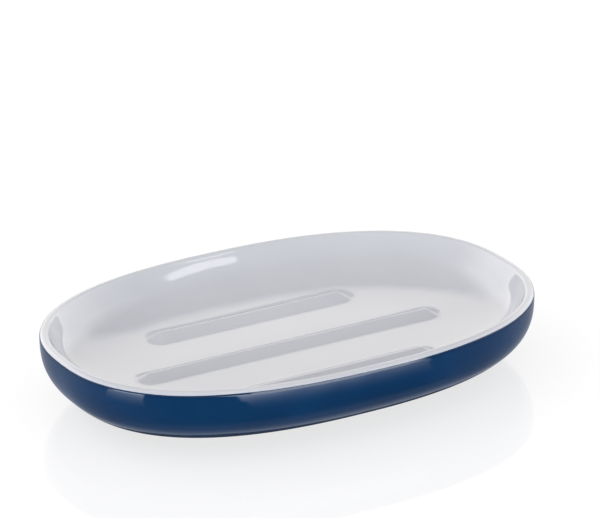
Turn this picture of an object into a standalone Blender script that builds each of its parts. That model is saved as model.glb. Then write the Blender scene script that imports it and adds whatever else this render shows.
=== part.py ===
"""Oval ceramic soap dish, in metres, with the table at Z = 0 and the long axis along X.

One cast body carries three drying ribs. White glaze coats its bowl and rim, blue glaze its side and the hollow
under its base. The foot ring is left bare, and four soft pads in the hollow keep the dish from sliding.
"""

import math

import bmesh
import bpy
from mathutils import Matrix, Vector

# Outer size of the glazed dish, standing on its pads.
LENGTH = 0.135
WIDTH = 0.092
HEIGHT = 0.0202
# The power of the oval: 2 is an ellipse, and more is squarer.
OUTLINE_POWER = 2.4
OUTLINE_SIDES = 64

# Side: upright below the rim, then tucked under in one sweep to the foot ring.
RIM_RADIUS = 0.00145
SIDE_TUCK = 0.0355
SIDE_POWER = 2.8
RIM_STEPS = 8
SIDE_STEPS = 8

# Bowl: its wall falls from the rim in a quarter of an ellipse and runs out into a level floor.
FLOOR_HEIGHT = 0.009
BOWL_SWEEP = 0.015
BOWL_STEPS = 7

# Coats of glaze, and the clearance between pieces that touch.
GLAZE = 0.0005
FIT = 0.0003
# How far the blue coat climbs the rim's outer curve before the white one takes over.
BLUE_CLIMB = math.radians(22.5)

# Ribs, as they stand above the floor, over their glaze.
RIB_WIDTH = 0.008
RIB_HEIGHT = 0.0018
RIB_PITCH = 0.022
MIDDLE_RIB_LENGTH = 0.091
SIDE_RIB_LENGTH = 0.062
RIB_SIDES = 16
# How far a rib's form is buried in the floor that it joins, and how far a cut runs past it.
RIB_ROOT = 0.001
OVERRUN = 0.0005

# Underside: the bare foot ring and the shallow hollow inside it.
FOOT_INSET = 0.017
FOOT_WIDTH = 0.004
FOOT_CLEARANCE = 0.0005
BASE_WALL = 0.004
HOLLOW_COVE = 0.004
HOLLOW_STEPS = 4

# Pads, stuck to the roof of the hollow.
PAD_RADIUS = 0.004
PAD_EDGE = 0.0004
PAD_MARGIN = 0.001
PAD_SIDES = 24

# Levels and radii that follow from the sizes above.
RIM_LEVEL = HEIGHT - RIM_RADIUS
COAT = GLAZE + FIT
RIB_RADIUS = (RIB_WIDTH**2 / 4 + RIB_HEIGHT**2) / (2 * RIB_HEIGHT)
RIB_AXIS = FLOOR_HEIGHT + RIB_HEIGHT - RIB_RADIUS
RIBS = ((-RIB_PITCH, SIDE_RIB_LENGTH), (0, MIDDLE_RIB_LENGTH), (RIB_PITCH, SIDE_RIB_LENGTH))
ROOF_LEVEL = FLOOR_HEIGHT - COAT - BASE_WALL


def remove_old_objects():
    for old in list(bpy.data.objects):
        bpy.data.objects.remove(old, do_unlink=True)


def new_collection(name):
    collection = bpy.data.collections.new(name)
    bpy.context.scene.collection.children.link(collection)
    return collection


def new_material(name, colour, roughness):
    material = bpy.data.materials.new(name)
    material.use_nodes = True
    shader = material.node_tree.nodes["Principled BSDF"]
    shader.inputs["Base Color"].default_value = (*colour, 1)
    shader.inputs["Roughness"].default_value = roughness
    shader.inputs["Metallic"].default_value = 0
    return material


def new_object(name, bm, collection, material=None):
    """An object from a bmesh. Without a material it is a form or a cutter, which isn't part of the dish."""
    mesh = bpy.data.meshes.new(name)
    bm.to_mesh(mesh)
    bm.free()
    made = bpy.data.objects.new(name, mesh)
    collection.objects.link(made)
    if material:
        mesh.materials.append(material)
        mesh.shade_smooth()
        mesh.set_sharp_from_angle(angle=math.radians(35))
    else:
        made.hide_render = True
        made.display_type = "WIRE"
    return made


def add_boolean(target, operation, tool):
    modifier = target.modifiers.new(tool.name, "BOOLEAN")
    modifier.operation = operation
    modifier.solver = "EXACT"
    modifier.object = tool


def signed_power(value, power):
    return math.copysign(abs(value) ** power, value)


def oval_point(turn, inset):
    """Where a turn round the dish meets the outline, drawn in on all sides by an inset."""
    x = (LENGTH / 2 - inset) * signed_power(math.cos(turn), 2 / OUTLINE_POWER)
    y = (WIDTH / 2 - inset) * signed_power(math.sin(turn), 2 / OUTLINE_POWER)
    return x, y


def side_profile():
    """Inset and height up the outside, from the edge of the foot ring to the rim's level."""
    lowest = math.acos((1 - FOOT_INSET / SIDE_TUCK) ** (SIDE_POWER / 2))
    points = []
    for step in range(SIDE_STEPS + 1):
        turn = lowest * (1 - step / SIDE_STEPS)
        inset = SIDE_TUCK * (1 - math.cos(turn) ** (2 / SIDE_POWER))
        height = RIM_LEVEL * (1 - math.sin(turn) ** (2 / SIDE_POWER))
        points.append((inset, height))
    return points


def rim_point(turn):
    """Inset and height at a turn over the rim's half circle, which starts at its outer edge."""
    return RIM_RADIUS * (1 - math.cos(turn)), RIM_LEVEL + RIM_RADIUS * math.sin(turn)


def rim_profile(first=0):
    """Inset and height over the rim, from its outer edge or a turn above it to its inner edge."""
    steps = round(RIM_STEPS * (1 - first / math.pi))
    return [rim_point(first + (math.pi - first) * step / steps) for step in range(steps + 1)]


def bowl_profile():
    """Inset and height down the inside, from the rim's inner edge to the edge of the floor."""
    points = []
    for step in range(BOWL_STEPS + 1):
        turn = math.pi / 2 * step / BOWL_STEPS
        inset = 2 * RIM_RADIUS + BOWL_SWEEP * (1 - math.cos(turn))
        height = FLOOR_HEIGHT + (RIM_LEVEL - FLOOR_HEIGHT) * (1 - math.sin(turn))
        points.append((inset, height))
    return points


def sunk(profile, depth):
    """A profile moved square to itself, to the right of its own direction: on the outside, into the ceramic."""
    moved = []
    for here, point in enumerate(profile):
        before = Vector(profile[max(here - 1, 0)])
        after = Vector(profile[min(here + 1, len(profile) - 1)])
        along = (after - before).normalized()
        moved.append((point[0] + along[1] * depth, point[1] - along[0] * depth))
    return moved


def foot_edge():
    """The inset of the foot ring's outer wall, clear of the edge of the blue glaze."""
    return sunk(side_profile(), COAT)[0][0] + FIT


def hollow_profile():
    """Inset and height up the bare ceramic inside the foot ring, to the edge of the hollow's roof."""
    points = []
    for step in range(HOLLOW_STEPS + 1):
        turn = math.pi / 2 * step / HOLLOW_STEPS
        inset = foot_edge() + FOOT_WIDTH + HOLLOW_COVE * (1 - math.cos(turn))
        height = FOOT_CLEARANCE + (ROOF_LEVEL - FOOT_CLEARANCE) * math.sin(turn)
        points.append((inset, height))
    return points


def loft(name, profile, collection, material, is_band=False):
    """A closed solid whose skin passes through one oval for each point of a profile.

    Its first and last ovals are capped flat or, for a band with an open middle, joined to each other.
    """
    bm = bmesh.new()
    bmesh.ops.create_circle(bm, cap_ends=not is_band, segments=OUTLINE_SIDES, radius=1)
    turns = bm.verts.layers.float.new("turn")
    for vert in bm.verts:
        vert[turns] = math.atan2(vert.co.y, vert.co.x)
    ring = bm.verts[:]
    first_edges = bm.edges[:]
    last_edges = first_edges
    for number, (inset, height) in enumerate(profile):
        if number:
            made = bmesh.ops.extrude_edge_only(bm, edges=last_edges)["geom"]
            ring = [item for item in made if isinstance(item, bmesh.types.BMVert)]
            last_edges = [item for item in made if isinstance(item, bmesh.types.BMEdge) and item.is_boundary]
        for vert in ring:
            vert.co = (*oval_point(vert[turns], inset), height)
    if is_band:
        bmesh.ops.bridge_loops(bm, edges=first_edges + last_edges)
    else:
        bmesh.ops.edgeloop_fill(bm, edges=last_edges)
    bmesh.ops.recalc_face_normals(bm, faces=bm.faces[:])
    return new_object(name, bm, collection, material)


def rib_forms(name, radius, root_level, collection):
    """The three ribs as round-ended bars of one radius in one mesh, cut off flat below at the root level."""
    bm = bmesh.new()
    for across, length in RIBS:
        reach = (length - RIB_WIDTH) / 2
        ends = []
        for along in (-reach, reach):
            middle = Matrix.Translation((along, across, RIB_AXIS))
            ball = bmesh.ops.create_uvsphere(
                bm, u_segments=RIB_SIDES, v_segments=RIB_SIDES, radius=radius, matrix=middle
            )
            ends += ball["verts"]
        skin = {face for vert in ends for face in vert.link_faces}
        lines = {edge for vert in ends for edge in vert.link_edges}
        bmesh.ops.delete(bm, geom=list(skin) + list(lines), context="EDGES_FACES")
        hull = bmesh.ops.convex_hull(bm, input=ends)
        buried = [item for item in hull["geom_interior"] if isinstance(item, bmesh.types.BMVert)]
        bmesh.ops.delete(bm, geom=buried, context="VERTS")
    whole = bm.verts[:] + bm.edges[:] + bm.faces[:]
    root = (0, 0, root_level)
    bmesh.ops.bisect_plane(bm, geom=whole, plane_co=root, plane_no=(0, 0, 1), clear_inner=True)
    bmesh.ops.holes_fill(bm, edges=[edge for edge in bm.edges if edge.is_boundary])
    bmesh.ops.recalc_face_normals(bm, faces=bm.faces[:])
    return new_object(name, bm, collection)


def make_body(parts, forms):
    """The cast body: hollow, foot ring, side, rim and bowl in one skin, with the ribs' cores standing on its floor."""
    material = new_material("bare_ceramic", (0.76, 0.73, 0.68), 0.75)
    skin = sunk(side_profile() + rim_profile()[1:] + bowl_profile()[1:], COAT)
    foot = [(foot_edge(), FOOT_CLEARANCE), (foot_edge(), skin[0][1])]
    body = loft("ceramic_body", hollow_profile()[::-1] + foot + skin, parts, material)
    cores = rib_forms("rib_cores", RIB_RADIUS - COAT, FLOOR_HEIGHT - COAT - RIB_ROOT, forms)
    add_boolean(body, "UNION", cores)


def make_white_glaze(parts, forms):
    """The white coat, from the edge of the blue one over the rim and down the bowl, and over each rib."""
    material = new_material("white_glaze", (0.82, 0.83, 0.86), 0.08)
    face = rim_profile(first=BLUE_CLIMB) + bowl_profile()[1:]
    coat = loft("white_glaze", sunk(face, GLAZE)[::-1] + face, parts, material)
    rib_coats = rib_forms("rib_coats", RIB_RADIUS, FLOOR_HEIGHT - GLAZE / 2, forms)
    rib_rooms = rib_forms("rib_rooms", RIB_RADIUS - GLAZE, FLOOR_HEIGHT - GLAZE - OVERRUN, forms)
    add_boolean(coat, "UNION", rib_coats)
    add_boolean(coat, "DIFFERENCE", rib_rooms)


def make_blue_glaze(parts):
    """The blue coat, from just under the white one down the side to the edge of the foot ring."""
    material = new_material("blue_glaze", (0.008, 0.040, 0.100), 0.06)
    face = side_profile() + [rim_point(BLUE_CLIMB - FIT / RIM_RADIUS)]
    loft("blue_glaze", face + sunk(face, GLAZE)[::-1], parts, material, is_band=True)


def make_base_glaze(parts):
    """The blue coat on the wall and roof of the hollow, clear of the bare foot ring."""
    material = new_material("base_glaze", (0.008, 0.040, 0.100), 0.08)
    back = sunk(hollow_profile(), FIT)[1:]
    face = sunk(hollow_profile(), COAT)[1:]
    loft("base_glaze", back[::-1] + face, parts, material)


def make_pads(parts):
    """Four round pads, each a margin in from a corner of the glazed roof, that stand just proud of the foot ring."""
    material = new_material("pad_rubber", (0.55, 0.56, 0.57), 0.45)
    glazed_edge, glazed_level = sunk(hollow_profile(), COAT)[-1]
    seat_inset = glazed_edge + PAD_RADIUS + PAD_MARGIN
    top = glazed_level - FIT
    for name, eighths in (("back_right", 1), ("back_left", 3), ("front_left", 5), ("front_right", 7)):
        bm = bmesh.new()
        bmesh.ops.create_cone(
            bm, cap_ends=True, segments=PAD_SIDES, radius1=PAD_RADIUS, radius2=PAD_RADIUS, depth=top
        )
        pad = new_object("foot_pad_" + name, bm, parts, material)
        pad.location = (*oval_point(eighths * math.pi / 4, seat_inset), top / 2)
        edge = pad.modifiers.new("rounded_edges", "BEVEL")
        edge.width = PAD_EDGE
        edge.segments = 2
        edge.limit_method = "ANGLE"


remove_old_objects()
dish = new_collection("soap_dish")
forms_and_cutters = new_collection("forms_and_cutters")
make_body(dish, forms_and_cutters)
make_white_glaze(dish, forms_and_cutters)
make_blue_glaze(dish)
make_base_glaze(dish)
make_pads(dish)
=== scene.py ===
"""Oval ceramic soap dish, white in the bowl and blue outside, with a bare foot ring and soft pads."""

import math

import bmesh
import bpy
from mathutils import Matrix, Vector


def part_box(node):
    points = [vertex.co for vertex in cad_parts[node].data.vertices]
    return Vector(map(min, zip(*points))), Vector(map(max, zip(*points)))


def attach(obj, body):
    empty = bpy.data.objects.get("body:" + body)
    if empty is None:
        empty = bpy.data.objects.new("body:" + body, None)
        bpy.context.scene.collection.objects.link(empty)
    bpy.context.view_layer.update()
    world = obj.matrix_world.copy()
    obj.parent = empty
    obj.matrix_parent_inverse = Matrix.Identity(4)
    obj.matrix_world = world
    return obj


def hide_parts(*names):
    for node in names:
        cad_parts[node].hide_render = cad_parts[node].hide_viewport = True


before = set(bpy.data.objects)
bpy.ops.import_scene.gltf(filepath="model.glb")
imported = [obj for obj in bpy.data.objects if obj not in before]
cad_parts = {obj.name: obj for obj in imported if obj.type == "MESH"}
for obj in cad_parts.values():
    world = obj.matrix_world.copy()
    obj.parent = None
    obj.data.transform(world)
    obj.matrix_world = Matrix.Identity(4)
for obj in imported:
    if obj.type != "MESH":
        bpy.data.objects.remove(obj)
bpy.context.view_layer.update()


# Fired body. A cast stoneware dish with three raised drying ribs on its floor and a foot ring
# below. Glaze hides it all but the foot ring, which is wiped bare before firing, so that the dish
# doesn't stick to the kiln shelf.

coat_low, coat_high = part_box("blue_glaze")
white_low, white_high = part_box("white_glaze")
LENGTH = coat_high.x - coat_low.x
WIDTH = coat_high.y - coat_low.y
HEIGHT = white_high.z
OVAL_POWER = 2.4
SIDES = 320
MERGE_REACH = 0.000004
GLAZE = 0.0005
SEAT = 0.00002

SIDE_TUCK = 0.0355
SIDE_POWER = 2.8
FOOT_INSET = 0.017
FOOT_WIDTH = 0.004
FOOT_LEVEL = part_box("ceramic_body")[0].z
FOOT_ROUND = 0.0005
FOOT_ROUND_STEPS = 5
HOLLOW_COVE = 0.004
ROOF_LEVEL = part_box("base_glaze")[1].z + SEAT

WALL_SLOPE = math.radians(66.5)
BEND_SLOPE = math.radians(62)
WALL_REACH = 0.0042
WALL_STEPS = 8
WALL_PULL = 0.004
FLOOR_PULL = 0.0195
FLOOR_INSET = 0.0295
FLOOR_LEVEL = white_low.z + GLAZE
CROWDING = 0.5
RIM_RADIUS = 0.00145
RIM_INNER_RADIUS = 0.00105
RIM_LEVEL = HEIGHT - RIM_RADIUS
RIM_END = math.pi / 2 + WALL_SLOPE

RIB_HALF_WIDTH = 0.004
RIB_HEIGHT = 0.0018
RIB_CREST = 0.0002
RIB_SLOPE = math.sqrt((RIB_HEIGHT + RIB_CREST) ** 2 - RIB_CREST**2) / RIB_HALF_WIDTH
RIB_PITCH = 0.022
RIB_FILLET = 0.00012
RIB_LEAST = 0.000004
RIBS = ((-RIB_PITCH, 0.062), (0, 0.091), (RIB_PITCH, 0.062))

NOISE_SPREAD = (0.3, 0.7)
CLOUD_SPREAD = (0.35, 0.65)
GROG_SPREAD = (0.62, 0.70)
GROG_SHARE = 0.6
CLAY = (0.70, 0.66, 0.60)
CLAY_PALE = (0.78, 0.75, 0.70)
GROG = (0.47, 0.41, 0.34)
CLAY_ROUGHNESS = (0.62, 0.86)
CLAY_RELIEF = 0.00006


def signed_power(value, power):
    return math.copysign(abs(value) ** power, value)


def oval_point(turn, inset):
    x = (LENGTH / 2 - inset) * signed_power(math.cos(turn), 2 / OVAL_POWER)
    y = (WIDTH / 2 - inset) * signed_power(math.sin(turn), 2 / OVAL_POWER)
    return x, y


def side_profile(steps):
    """Inset and height up the outside, from the edge of the foot ring to the widest place."""
    lowest = math.acos((1 - FOOT_INSET / SIDE_TUCK) ** (SIDE_POWER / 2))
    points = []
    for step in range(steps + 1):
        turn = lowest * (1 - step / steps)
        inset = SIDE_TUCK * (1 - math.cos(turn) ** (2 / SIDE_POWER))
        points.append((inset, RIM_LEVEL * (1 - math.sin(turn) ** (2 / SIDE_POWER))))
    return points


def rim_profile(steps, first=0, last=RIM_END):
    """Inset and height over the rounded rim, from one turn to another."""
    points = []
    for step in range(steps + 1):
        turn = first + (last - first) * step / steps
        radius = RIM_RADIUS if turn < math.pi / 2 else RIM_INNER_RADIUS
        inset = RIM_RADIUS - radius * math.cos(turn)
        points.append((inset, HEIGHT - radius * (1 - math.sin(turn))))
    return points


def to_middle(point, steps):
    """Level points from the end of a profile to the middle line."""
    inset, height = point
    span = WIDTH / 2 - inset
    return [(inset + span * step / steps, height) for step in range(1, steps + 1)]


def downhill(slope):
    return Vector((math.cos(slope), -math.sin(slope)))


def curve_point(ends, share):
    """A point on the cubic curve through four. Equal shares lie closer together near its end."""
    along = share * (1 + CROWDING - CROWDING * share)
    rest = 1 - along
    first, second, third, fourth = ends
    early = first * rest**3 + second * 3 * rest**2 * along
    return early + third * 3 * rest * along**2 + fourth * along**3


def bowl_profile(bend_steps, floor_steps):
    """Inset and height down the wall, round its bend, over the dished floor and to the middle."""
    points = [Vector(rim_profile(steps=1)[-1])]
    for step in range(WALL_STEPS):
        slope = WALL_SLOPE + (BEND_SLOPE - WALL_SLOPE) * (step + 0.5) / WALL_STEPS
        points.append(points[-1] + WALL_REACH / WALL_STEPS * downhill(slope))
    bend = points[-1]
    foot = Vector((FLOOR_INSET, FLOOR_LEVEL))
    ends = (bend, bend + WALL_PULL * downhill(BEND_SLOPE), foot - Vector((FLOOR_PULL, 0)), foot)
    points += [curve_point(ends, step / bend_steps) for step in range(1, bend_steps + 1)]
    return [tuple(point) for point in points[1:]] + to_middle(foot, floor_steps)


def sunk(profile, depth):
    """A profile moved square to itself by a depth, into the ceramic."""
    moved = []
    for here, point in enumerate(profile):
        before = Vector(profile[max(here - 1, 0)])
        after = Vector(profile[min(here + 1, len(profile) - 1)])
        along = (after - before).normalized()
        moved.append((min(point[0] + along[1] * depth, WIDTH / 2), point[1] - along[0] * depth))
    return moved


def rib_rise(x, y):
    """How far the ribs stand above the floor at a place, with a soft fillet along their feet."""
    rise = 0
    for across, length in RIBS:
        reach = length / 2 - RIB_HALF_WIDTH
        apart = math.hypot(x - max(-reach, min(reach, x)), y - across)
        ridge = RIB_HEIGHT + RIB_CREST - math.hypot(RIB_SLOPE * apart, RIB_CREST)
        rise = max(rise, (ridge + math.hypot(ridge, 2 * RIB_FILLET)) / 2)
    return rise if rise > RIB_LEAST else 0


def new_object(name, data):
    made = bpy.data.objects.new(name, data)
    bpy.context.scene.collection.objects.link(made)
    return made


def new_piece(name, bm):
    """An object with the mesh built so far, smooth shaded."""
    mesh = bpy.data.meshes.new(name)
    bm.to_mesh(mesh)
    bm.free()
    mesh.shade_smooth()
    return new_object(name, mesh)


def loft(name, profile_at, is_band=False, has_ribs=False):
    """A skin through one oval for each point of a profile, which may change round the dish.

    A band's last oval joins its first. Ribs lift every point that lies well inside the wall.
    """
    bm = bmesh.new()
    bmesh.ops.create_circle(bm, segments=SIDES, radius=1)
    number = bm.verts.layers.int.new("number")
    turns = []
    for vert in bm.verts:
        vert[number] = len(turns)
        turns.append(math.atan2(vert.co.y, vert.co.x))
    profiles = [profile_at(turn) for turn in turns]
    ring = bm.verts[:]
    first_edges = bm.edges[:]
    last_edges = first_edges
    for step in range(len(profiles[0])):
        if step:
            made = bmesh.ops.extrude_edge_only(bm, edges=last_edges)["geom"]
            ring = [item for item in made if isinstance(item, bmesh.types.BMVert)]
            edges = [item for item in made if isinstance(item, bmesh.types.BMEdge)]
            last_edges = [edge for edge in edges if edge.is_boundary]
        for vert in ring:
            inset, height = profiles[vert[number]][step]
            x, y = oval_point(turns[vert[number]], inset)
            if has_ribs and inset > FLOOR_INSET / 2:
                height += rib_rise(x, y)
            vert.co = (x, y, height)
    if is_band:
        bmesh.ops.bridge_loops(bm, edges=first_edges + last_edges)
    bmesh.ops.remove_doubles(bm, verts=bm.verts[:], dist=MERGE_REACH)
    bmesh.ops.recalc_face_normals(bm, faces=bm.faces[:])
    return new_piece(name, bm)


def foot_edge():
    """Inset of the bare ring's outer edge, where the blue coat stops."""
    return sunk(side_profile(steps=8), GLAZE + SEAT)[0][0] + SEAT


def foot_corner(inset, first, last):
    """Points round a corner of the foot ring, between two turns in degrees from straight outwards."""
    points = []
    for step in range(FOOT_ROUND_STEPS + 1):
        turn = math.radians(first + (last - first) * step / FOOT_ROUND_STEPS)
        height = FOOT_LEVEL + FOOT_ROUND + FOOT_ROUND * math.sin(turn)
        points.append((inset - FOOT_ROUND * math.cos(turn), height))
    return points


def hollow_profile(steps, first=0):
    """Inset and height from the foot ring's inner side, or a turn above it, up to the roof."""
    base = FOOT_LEVEL + FOOT_ROUND
    points = []
    for step in range(steps + 1):
        turn = first + (math.pi / 2 - first) * step / steps
        inset = foot_edge() + FOOT_WIDTH + HOLLOW_COVE * (1 - math.cos(turn))
        points.append((inset, base + (ROOF_LEVEL - base) * math.sin(turn)))
    return points


def body_profile(turn):
    """Inset and height from the hollow's roof, round the foot ring, side and rim, to the floor."""
    hollow = hollow_profile(steps=10)
    roof = to_middle(hollow[-1], steps=6)
    inner = foot_corner(foot_edge() + FOOT_WIDTH - FOOT_ROUND, 180, 270)
    outer = foot_corner(foot_edge() + FOOT_ROUND, 270, 360)
    outside = side_profile(steps=16) + rim_profile(steps=10)[1:]
    skin = sunk(outside + bowl_profile(bend_steps=48, floor_steps=30), GLAZE + SEAT)
    return roof[::-1] + hollow[::-1] + inner[1:] + outer + skin


def new_material(name):
    material = bpy.data.materials.new(name)
    material.use_nodes = True
    nodes = material.node_tree.nodes
    return nodes, material.node_tree.links, nodes["Principled BSDF"], material


def noise(nodes, links, scale, detail):
    """Noise fixed to the piece, at so many features to the metre."""
    place = nodes.new("ShaderNodeTexCoord")
    texture = nodes.new("ShaderNodeTexNoise")
    texture.inputs["Scale"].default_value = scale
    texture.inputs["Detail"].default_value = detail
    links.new(place.outputs["Object"], texture.inputs["Vector"])
    return texture.outputs["Fac"]


def graded(nodes, links, value, low, high, low_end=0, high_end=1):
    """A value from one range spread over another."""
    ranged = nodes.new("ShaderNodeMapRange")
    ranged.inputs["From Min"].default_value = low
    ranged.inputs["From Max"].default_value = high
    ranged.inputs["To Min"].default_value = low_end
    ranged.inputs["To Max"].default_value = high_end
    links.new(value, ranged.inputs["Value"])
    return ranged.outputs["Result"]


def mottled(nodes, links, scale, detail, low_end=0, high_end=1):
    """Soft noise that wanders between two values."""
    texture = noise(nodes, links, scale, detail)
    return graded(nodes, links, texture, *NOISE_SPREAD, low_end, high_end)


def blended(nodes, links, share, first, second):
    """One colour turning into another, each three numbers or a colour from other nodes."""
    mix = nodes.new("ShaderNodeMix")
    mix.data_type = "RGBA"
    for socket, colour in ((mix.inputs["A"], first), (mix.inputs["B"], second)):
        if isinstance(colour, tuple):
            socket.default_value = (*colour, 1)
        else:
            links.new(colour, socket)
    links.new(share, mix.inputs["Factor"])
    return mix.outputs["Result"]


def bumped(nodes, links, shader, height, distance):
    bump = nodes.new("ShaderNodeBump")
    bump.inputs["Strength"].default_value = 1
    bump.inputs["Distance"].default_value = distance
    links.new(height, bump.inputs["Height"])
    links.new(bump.outputs["Normal"], shader.inputs["Normal"])


def bare_clay():
    """Fired buff clay with fine grog, rubbed smooth on the foot ring."""
    nodes, links, shader, material = new_material("bare_clay")
    grog = noise(nodes, links, scale=2600, detail=3)
    cloud = graded(nodes, links, noise(nodes, links, scale=160, detail=2), *CLOUD_SPREAD)
    specks = graded(nodes, links, grog, *GROG_SPREAD, 0, GROG_SHARE)
    clay = blended(nodes, links, cloud, CLAY, CLAY_PALE)
    links.new(blended(nodes, links, specks, clay, GROG), shader.inputs["Base Color"])
    rough = graded(nodes, links, grog, *NOISE_SPREAD, *CLAY_ROUGHNESS)
    links.new(rough, shader.inputs["Roughness"])
    bumped(nodes, links, shader, grog, CLAY_RELIEF)
    return material


body = loft("fired_body", body_profile, has_ribs=True)
body.data.materials.append(bare_clay())
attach(body, "root")
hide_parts("ceramic_body")


# White glaze. A glossy opaque white, poured into the bowl and over the rim, so it lies thickest
# in the bowl. It laps over the blue glaze in a hand-dipped line on the rim's outer curve, and
# takes a blue tinge there.

WHITE_LINE = math.radians(22.5)
LINE_WAVE = math.radians(2.5)
WAVES = ((1, 3, 0.6), (0.6, 7, 2.1), (0.4, 13, 4.0))
LAP = math.radians(7)
LAP_DEPTH = 0.00006
WHITE = (0.700, 0.708, 0.728)
WHITE_THICK = (0.722, 0.729, 0.747)
LILAC = (0.64, 0.675, 0.755)
TINGE_REACH = 0.0006
TINGE_OUTSIDE = 0.93
WHITE_ROUGHNESS = (0.03, 0.06)
GLAZE_RELIEF = 0.00012


def white_line(turn):
    """The turn up the rim's outer curve at which the white coat ends, waved by the pour."""
    wave = sum(tall * math.sin(many * turn + shift) for tall, many, shift in WAVES)
    return WHITE_LINE + LINE_WAVE * wave


def white_profile(turn):
    """Inset and height along the coat's back to its edge, and along its face to the middle."""
    start = white_line(turn)
    face = rim_profile(steps=18, first=start + LAP)
    face += bowl_profile(bend_steps=56, floor_steps=42)
    edge = rim_profile(steps=4, first=start, last=start + LAP)
    return sunk(face, GLAZE)[::-1] + [sunk(edge, GLAZE)[0], sunk(edge, LAP_DEPTH)[0]] + face


def oval_share(x, y):
    """A measure of how far out a place lies, from 0 in the middle to 1 on the outline."""
    return abs(2 * x / LENGTH) ** OVAL_POWER + abs(2 * y / WIDTH) ** OVAL_POWER


def white_gloss():
    """White glaze that turns lilac where the vertices carry the tinge."""
    nodes, links, shader, material = new_material("white_gloss")
    pooled = mottled(nodes, links, scale=55, detail=2)
    colour = blended(nodes, links, pooled, WHITE, WHITE_THICK)
    edge = nodes.new("ShaderNodeAttribute")
    edge.attribute_name = "tinge"
    colour = blended(nodes, links, edge.outputs["Fac"], colour, LILAC)
    links.new(colour, shader.inputs["Base Color"])
    rough = mottled(nodes, links, 300, 2, *WHITE_ROUGHNESS)
    links.new(rough, shader.inputs["Roughness"])
    bumped(nodes, links, shader, noise(nodes, links, scale=90, detail=1), GLAZE_RELIEF)
    return material


white = loft("white_glaze_coat", white_profile, has_ribs=True)
tinge = white.data.attributes.new("tinge", "FLOAT", "POINT")
for vert in white.data.vertices:
    x, y, z = vert.co
    over_line = z - RIM_LEVEL - RIM_RADIUS * math.sin(white_line(math.atan2(y, x)))
    is_outside = oval_share(x, y) > TINGE_OUTSIDE
    tinge.data[vert.index].value = max(0, 1 - over_line / TINGE_REACH) if is_outside else 0
white.data.materials.append(white_gloss())
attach(white, "root")
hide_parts("white_glaze")


# Blue glaze. A deep glossy blue, dipped over the whole outside, from under the edge of the white
# down to the foot ring, where it stops in a rolled edge. Its colour carries painted shade, darker
# under the rim than on the side, and painted light, lighter near the ring, for the floor's
# reflection.

BLUE = (0.0040, 0.045, 0.135)
BLUE_THICK = (0.0030, 0.036, 0.110)
# Painted light: a lighter blue near the foot ring, standing in for the floor's reflection.
BLUE_PAINTED_LIGHT = (0.010, 0.070, 0.175)
PAINTED_LIGHT_BAND = (0.0012, 0.0030)
PAINTED_LIGHT_SHARE = 0.8
# Painted shade: a darker blue in a band under the white rim.
BLUE_PAINTED_SHADE = (0.0012, 0.028, 0.085)
PAINTED_SHADE_BAND = (0.0183, 0.0188)
PAINTED_SHADE_SHARE = 0.85
BLUE_ROUGHNESS = (0.03, 0.07)
EDGE_ROLL = 0.00025
ROLL_STEPS = 4


def rolled_edge(face, into_side):
    """Points of the rounded edge in which a coat's face starts, from a radius deep to the face."""
    first, second = Vector(face[0]), Vector(face[1])
    along = (second - first).normalized()
    into = Vector((along.y, -along.x)) * into_side
    points = []
    for step in range(ROLL_STEPS + 1):
        swing = math.pi / 2 * step / ROLL_STEPS
        offset = along * (1 - math.cos(swing)) + into * (1 - math.sin(swing))
        points.append(tuple(first + EDGE_ROLL * offset))
    return points


def blue_profile(turn):
    """Inset and height up the coat's face, from its rolled edge, and down its back."""
    rim = rim_profile(steps=10, last=white_line(turn) + LAP / 2)
    face = sunk(side_profile(steps=34) + rim[1:], LAP_DEPTH / 2)
    back = sunk(face, GLAZE - LAP_DEPTH / 2)
    return rolled_edge(face, 1) + face[1:] + back[::-1]


def blue_gloss(name):
    """Blue glaze with painted light near the foot ring and painted shade under the rim."""
    nodes, links, shader, material = new_material(name)
    colour = blended(nodes, links, mottled(nodes, links, scale=70, detail=3), BLUE, BLUE_THICK)
    place = nodes.new("ShaderNodeTexCoord")
    height = nodes.new("ShaderNodeSeparateXYZ")
    links.new(place.outputs["Object"], height.inputs["Vector"])
    # Painted light, by height, near the foot ring.
    low = graded(nodes, links, height.outputs["Z"], *PAINTED_LIGHT_BAND, PAINTED_LIGHT_SHARE, 0)
    colour = blended(nodes, links, low, colour, BLUE_PAINTED_LIGHT)
    # Painted shade, by height, under the rim.
    high = graded(nodes, links, height.outputs["Z"], *PAINTED_SHADE_BAND, 0, PAINTED_SHADE_SHARE)
    colour = blended(nodes, links, high, colour, BLUE_PAINTED_SHADE)
    links.new(colour, shader.inputs["Base Color"])
    rough = mottled(nodes, links, 300, 2, *BLUE_ROUGHNESS)
    links.new(rough, shader.inputs["Roughness"])
    bumped(nodes, links, shader, noise(nodes, links, scale=90, detail=1), GLAZE_RELIEF)
    return material


blue = loft("blue_glaze_coat", blue_profile, is_band=True)
blue.data.materials.append(blue_gloss("blue_gloss"))
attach(blue, "root")
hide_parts("blue_glaze")


# Base glaze. The same blue, brushed into the shallow hollow under the dish, inside the bare foot
# ring. It covers the hollow's roof and most of its coved wall, and ends in a rolled edge above
# the ring.

BASE_COAT_START = math.radians(22.5)


def base_profile(turn):
    """Inset and height along the coat's back to its rolled edge, and along its face."""
    wall = hollow_profile(steps=14, first=BASE_COAT_START)
    back = sunk(wall + to_middle(wall[-1], steps=24), SEAT)
    face = sunk(back, GLAZE - SEAT)
    return back[::-1] + rolled_edge(face, -1) + face[1:]


base = loft("base_glaze_coat", base_profile)
# The base coat shares this material, with its painted light and painted shade by height.
base.data.materials.append(blue_gloss("base_blue_gloss"))
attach(base, "root")
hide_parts("base_glaze")


# Foot pads. Four small discs of soft milky rubber, punched from moulded sheet and stuck to the
# hollow's roof by the film of adhesive on their backs. They stand just proud of the foot ring, so
# the dish neither slides nor scratches.

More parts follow.
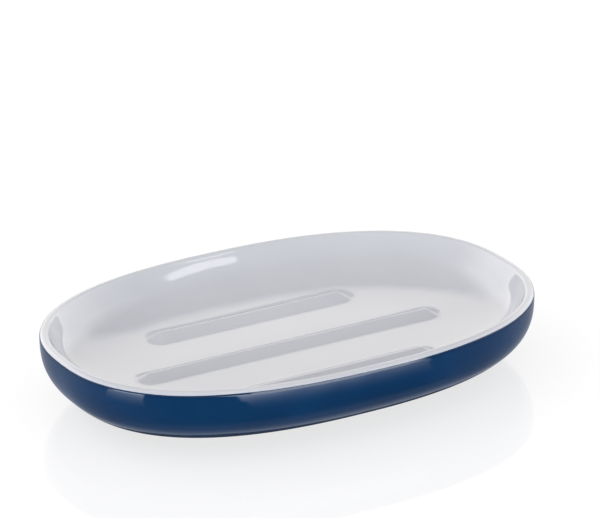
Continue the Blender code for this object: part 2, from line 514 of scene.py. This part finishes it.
PAD_ROUND = 0.0006
PAD_ROUND_STEPS = 6
PAD_TAPER = 0.00015
FILM = 0.00012
FILM_INSET = 0.0002
PAD_TURNS = 64
PAD_MERGE_REACH = 0.000002
PAD_SHARP = math.radians(40)
PAD_TOP = ROOF_LEVEL - GLAZE - SEAT
MILKY = (0.50, 0.51, 0.515)
MILKY_DEEP = (0.60, 0.61, 0.61)
RUBBER_ROUGHNESS = (0.38, 0.55)
RUBBER_RELIEF = 0.00003


def pad_profile(radius):
    """Radius and height from the underside's middle, round the edge and up to the adhesive."""
    points = [(0, 0), (radius / 2, 0)]
    for step in range(PAD_ROUND_STEPS + 1):
        turn = math.pi / 2 * step / PAD_ROUND_STEPS
        edge = radius - PAD_ROUND * (1 - math.sin(turn))
        points.append((edge, PAD_ROUND * (1 - math.cos(turn))))
    shoulder = PAD_TOP - FILM
    points.append((radius - PAD_TAPER, shoulder))
    points.append((radius - PAD_TAPER - FILM_INSET, shoulder))
    points.append((radius - PAD_TAPER - FILM_INSET, PAD_TOP))
    points.append((0, PAD_TOP))
    return points


def milky_rubber():
    """Clouded soft rubber with a fine satin grain."""
    nodes, links, shader, material = new_material("milky_rubber")
    colour = blended(nodes, links, mottled(nodes, links, scale=500, detail=3), MILKY, MILKY_DEEP)
    links.new(colour, shader.inputs["Base Color"])
    rough = mottled(nodes, links, 2500, 2, *RUBBER_ROUGHNESS)
    links.new(rough, shader.inputs["Roughness"])
    bumped(nodes, links, shader, noise(nodes, links, scale=3500, detail=2), RUBBER_RELIEF)
    return material


rubber = milky_rubber()
for corner in ("front_left", "front_right", "back_left", "back_right"):
    low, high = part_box("foot_pad_" + corner)
    profile = pad_profile((high.x - low.x) / 2)
    bm = bmesh.new()
    verts = [bm.verts.new((radius, 0, height)) for radius, height in profile]
    edges = [bm.edges.new(pair) for pair in zip(verts, verts[1:])]
    bmesh.ops.spin(
        bm, geom=verts + edges, axis=(0, 0, 1), angle=math.tau, steps=PAD_TURNS, use_merge=True
    )
    bmesh.ops.remove_doubles(bm, verts=bm.verts[:], dist=PAD_MERGE_REACH)
    bmesh.ops.recalc_face_normals(bm, faces=bm.faces[:])
    centre = ((low.x + high.x) / 2, (low.y + high.y) / 2, 0)
    bmesh.ops.translate(bm, verts=bm.verts[:], vec=centre)
    pad = new_piece("pad_" + corner, bm)
    pad.data.set_sharp_from_angle(angle=PAD_SHARP)
    pad.data.materials.append(rubber)
    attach(pad, "root")
    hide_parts("foot_pad_" + corner)


# Stage, light and camera. A pale glossy floor in a white studio, lit by six soft panels. The card
# on the floor, the backdrop and the two windows show only in mirror reflections.

STAGE_HALF = 3.0
ACRYLIC = (0.86, 0.86, 0.86, 1)
ACRYLIC_ROUGHNESS = 0.04
FLOOR_GLOW = 1.15
FLOOR_GLOW_SHARE = 0.63


def largest(nodes, links, first, second):
    either = nodes.new("ShaderNodeMath")
    either.operation = "MAXIMUM"
    links.new(first, either.inputs[0])
    links.new(second, either.inputs[1])
    return either.outputs[0]


def shared(nodes, links, share, first, second):
    """Makes a material's surface one shader that gives way to a second."""
    both = nodes.new("ShaderNodeMixShader")
    links.new(share, both.inputs["Fac"])
    links.new(first, both.inputs[1])
    links.new(second, both.inputs[2])
    links.new(both.outputs["Shader"], nodes["Material Output"].inputs["Surface"])


bm = bmesh.new()
bmesh.ops.create_grid(bm, x_segments=1, y_segments=1, size=STAGE_HALF)
floor = new_piece("floor", bm)
nodes, links, shader, material = new_material("white_acrylic")
shader.inputs["Base Color"].default_value = ACRYLIC
shader.inputs["Roughness"].default_value = ACRYLIC_ROUGHNESS
path = nodes.new("ShaderNodeLightPath")
seen = largest(nodes, links, path.outputs["Is Camera Ray"], path.outputs["Is Glossy Ray"])
seen = largest(nodes, links, seen, path.outputs["Is Transmission Ray"])
glow = nodes.new("ShaderNodeEmission")
glow.inputs["Strength"].default_value = FLOOR_GLOW
glow_share = graded(nodes, links, seen, 0, 1, 0, FLOOR_GLOW_SHARE)
shared(nodes, links, glow_share, shader.outputs["BSDF"], glow.outputs["Emission"])
floor.data.materials.append(material)


# A card round the foot of the dish that glows though it is no lamp and shows only in mirror
# reflections, so it paints the floor's reflection in the blue glaze: dark in front of the dish, a
# painted dark reflection; lighter along the outline and a little way under the dish, a painted
# light line; dark farther under, a painted shadow; and a bright strip of painted reflection in
# front and one on the left. It lies in rings that run from one distance outside the outline to
# another in so many steps.

CARD_RINGS = ((-0.020, -0.012, 6), (-0.012, -0.006, 24), (-0.006, 0.050, 56), (0.050, 0.200, 15))
CARD_LEVEL = 0.0003
CARD_TINT = (0.93, 1.0, 1.15, 1)
CARD_DARK = 0.07
CARD_DULL = 0.44
CARD_BRIGHT = 6.0
STRIPS = ((-119, -61), (-174, -156))
STRIP_START = 0.0150
STRIP_DOUBLING = 0.0050
DARK_MIDDLE = -106
DARK_HALF = 40
DARK_FADE = 50
EDGE_LIGHT = 0.24
EDGE_REACH = 0.006
UNDER_LIGHT = 1.2
UNDER_START = 0.003
UNDER_FADE = 0.0045
UNDER_END = 0.0090
LEAST_STRETCH = 0.001


def clamped(value, low=0, high=1):
    return min(max(value, low), high)


def card_glow(x, y):
    """The card's painted reflection, from how far outside the outline a place lies and on which side.
    """
    stretch = oval_share(x, y) ** (1 / OVAL_POWER)
    out = math.hypot(x, y) * (1 - 1 / max(stretch, LEAST_STRETCH))
    turn = math.degrees(math.atan2(y, x))
    apart = min(abs(turn - DARK_MIDDLE), 360 - abs(turn - DARK_MIDDLE))
    # Painted dark reflection in front, painted light along the outline and a little way under.
    dull = CARD_DARK + (CARD_DULL - CARD_DARK) * clamped((apart - DARK_HALF) / DARK_FADE)
    edge = clamped(1 - out / EDGE_REACH)
    under = UNDER_LIGHT * clamped((-out - UNDER_START) / UNDER_FADE)
    dull = max(dull, EDGE_LIGHT * (edge + under))
    # Painted shadow farther under the dish.
    if out < -UNDER_END:
        dull = CARD_DARK
    # Bright strips of painted reflection.
    if any(low < turn < high for low, high in STRIPS):
        return clamped(CARD_DARK * 2 ** ((out - STRIP_START) / STRIP_DOUBLING), dull, CARD_BRIGHT)
    return dull


def card_profile(turn):
    """Rings of the card, as insets from the dish's outline, from under the dish outwards."""
    rings = []
    for near, far, steps in CARD_RINGS:
        rings += [(-near - (far - near) * step / steps, CARD_LEVEL) for step in range(steps)]
    return rings


card = loft("card", card_profile)
if card.data.polygons[0].normal.z < 0:
    card.data.flip_normals()
brightness = card.data.attributes.new("brightness", "FLOAT", "POINT")
for vert in card.data.vertices:
    brightness.data[vert.index].value = card_glow(vert.co.x, vert.co.y)
nodes, links, shader, material = new_material("painted_reflection_card")
painted = nodes.new("ShaderNodeAttribute")
painted.attribute_name = "brightness"
# The card glows though it is no lamp, so the glaze mirrors its painted reflection.
face = nodes.new("ShaderNodeEmission")
face.inputs["Color"].default_value = CARD_TINT
links.new(painted.outputs["Fac"], face.inputs["Strength"])
side = nodes.new("ShaderNodeNewGeometry")
clear = nodes.new("ShaderNodeBsdfTransparent")
is_back = side.outputs["Backfacing"]
shared(nodes, links, is_back, face.outputs["Emission"], clear.outputs["BSDF"])
card.data.materials.append(material)
card.visible_camera = False
card.visible_diffuse = False
card.visible_transmission = False
card.visible_shadow = False


# The studio. Mirrors see a bright backdrop behind the dish, dimmer walls elsewhere and a dark
# ceiling, each edge given by how far a direction points up, back or across. All else is even.

AMBIENT = (0.62, 0.63, 0.67)
SEEN = (1.0, 1.0, 1.0)
BACKDROP = (1.72, 1.64, 1.52)
BACK_SIDES = (2.7, 2.65, 2.6)
CEILING = (0.03, 0.03, 0.04)
STUDIO = (0.40, 0.45, 0.58)
UP = (0, 0, 1)
BACK = (0.485, 0.875, 0)
ACROSS = (0.875, -0.485, 0)
BACKDROP_TOP = (0.56, 0.67)
BACKDROP_SIDE = (0.34, 0.56)
BACK_SIDES_TOP = (0.50, 0.80)
BACK_EDGE = (-0.2, 0.3)
STUDIO_TOP = (0.55, 0.90)


def pointing(nodes, links, direction):
    """How far each direction of the world points along a given one."""
    place = nodes.new("ShaderNodeTexCoord")
    share = nodes.new("ShaderNodeVectorMath")
    share.operation = "DOT_PRODUCT"
    share.inputs[1].default_value = direction
    links.new(place.outputs["Generated"], share.inputs[0])
    return share.outputs["Value"]


world = bpy.data.worlds.new("studio")
bpy.context.scene.world = world
world.use_nodes = True
nodes, links = world.node_tree.nodes, world.node_tree.links
up = pointing(nodes, links, UP)
aside = nodes.new("ShaderNodeMath")
aside.operation = "ABSOLUTE"
links.new(pointing(nodes, links, ACROSS), aside.inputs[0])
middle = blended(nodes, links, graded(nodes, links, up, *BACKDROP_TOP), BACKDROP, CEILING)
sides = blended(nodes, links, graded(nodes, links, up, *BACK_SIDES_TOP), BACK_SIDES, CEILING)
outward = graded(nodes, links, aside.outputs[0], *BACKDROP_SIDE)
backdrop = blended(nodes, links, outward, middle, sides)
studio = blended(nodes, links, graded(nodes, links, up, *STUDIO_TOP), STUDIO, CEILING)
behind = graded(nodes, links, pointing(nodes, links, BACK), *BACK_EDGE)
mirrored = blended(nodes, links, behind, studio, backdrop)
path = nodes.new("ShaderNodeLightPath")
colour = blended(nodes, links, path.outputs["Is Glossy Ray"], AMBIENT, mirrored)
seen = largest(nodes, links, path.outputs["Is Camera Ray"], path.outputs["Is Transmission Ray"])
colour = blended(nodes, links, seen, colour, SEEN)
links.new(colour, nodes["Background"].inputs["Color"])


# Lamps. Six soft panels light the dish from the front, the left and the back left, and two windows
# show as highlights in its glaze. A radiance of 1 looks white.

WHITE_LIGHT = (1.0, 1.0, 1.0)
WARM = (1.0, 0.96, 0.90)
COOL = (0.86, 0.86, 1.0)
PANEL_DISTANCE = 1.3
PANEL_AIM = (0, 0, 0.01)


def softbox(name, place, aim, width, height, radiance, tint=WHITE_LIGHT, glossy=False):
    """An area lamp that faces a point. A glossy one is only mirrored, and others never are."""
    lamp = bpy.data.lights.new(name, "AREA")
    lamp.shape = "RECTANGLE"
    lamp.size, lamp.size_y = width, height
    lamp.energy = radiance * math.pi * width * height
    lamp.color = tint
    made = new_object(name, lamp)
    made.location = place
    made.rotation_euler = (Vector(place) - Vector(aim)).to_track_quat("Z", "Y").to_euler()
    made.visible_glossy = glossy
    made.visible_diffuse = not glossy


def panel(name, azimuth, elevation, wide, high, radiance, tint=WHITE_LIGHT):
    """A softbox at a compass angle from the back and an angle up, so many degrees wide and high."""
    level = PANEL_DISTANCE * math.cos(math.radians(elevation))
    place = (
        level * math.sin(math.radians(azimuth)),
        level * math.cos(math.radians(azimuth)),
        PANEL_DISTANCE * math.sin(math.radians(elevation)),
    )
    width = 2 * PANEL_DISTANCE * math.tan(math.radians(wide / 2))
    height = 2 * PANEL_DISTANCE * math.tan(math.radians(high / 2))
    softbox(name, place, PANEL_AIM, width, height, radiance, tint)


panel("low_front_right", 142, 10, wide=34, high=20, radiance=0.95)
panel("low_front", 185, 10, wide=52, high=20, radiance=1.72)
panel("low_front_left", 240, 10, wide=58, high=20, radiance=1.35)
panel("low_left", 290, 10, wide=42, high=20, radiance=0.60, tint=COOL)
panel("high_left", 269, 45, wide=40, high=30, radiance=0.75, tint=WARM)
panel("high_back_left", 329, 45, wide=40, high=30, radiance=0.95, tint=WARM)
softbox(
    "side_window",
    place=(0.279, -0.425, 0.268),
    aim=(-0.003, 0.0425, 0.0175),
    width=0.095,
    height=0.036,
    radiance=5,
    glossy=True,
)
softbox(
    "front_window",
    place=(0.30, -1.15, 0.22),
    aim=(0, -0.045, 0.018),
    width=0.95,
    height=0.37,
    radiance=6,
    glossy=True,
)


# Camera. Its distance and its shifts to the right and up were fitted in halves of the dish's
# length, and its angles in degrees.

HALF_LENGTH = 0.0675
CAMERA_AZIMUTH = 29.1038
CAMERA_DOWN = 22.024
CAMERA_ROLL = -0.8759
CAMERA_DISTANCE = 15.71885 * HALF_LENGTH
AIM_RIGHT = 0.03749 * HALF_LENGTH
AIM_UP = 0.46477 * HALF_LENGTH
LENS = 240
SENSOR = 36

camera_data = bpy.data.cameras.new("camera")
camera_data.lens = LENS
camera_data.sensor_width = SENSOR
camera = new_object("camera", camera_data)
turned = (
    Matrix.Rotation(-math.radians(CAMERA_AZIMUTH), 4, "Z")
    @ Matrix.Rotation(math.radians(90 - CAMERA_DOWN), 4, "X")
    @ Matrix.Rotation(math.radians(CAMERA_ROLL), 4, "Z")
)
camera.matrix_world = turned @ Matrix.Translation((AIM_RIGHT, AIM_UP, CAMERA_DISTANCE))
bpy.context.scene.camera = camera
bpy.context.scene.view_settings.view_transform = "Standard"
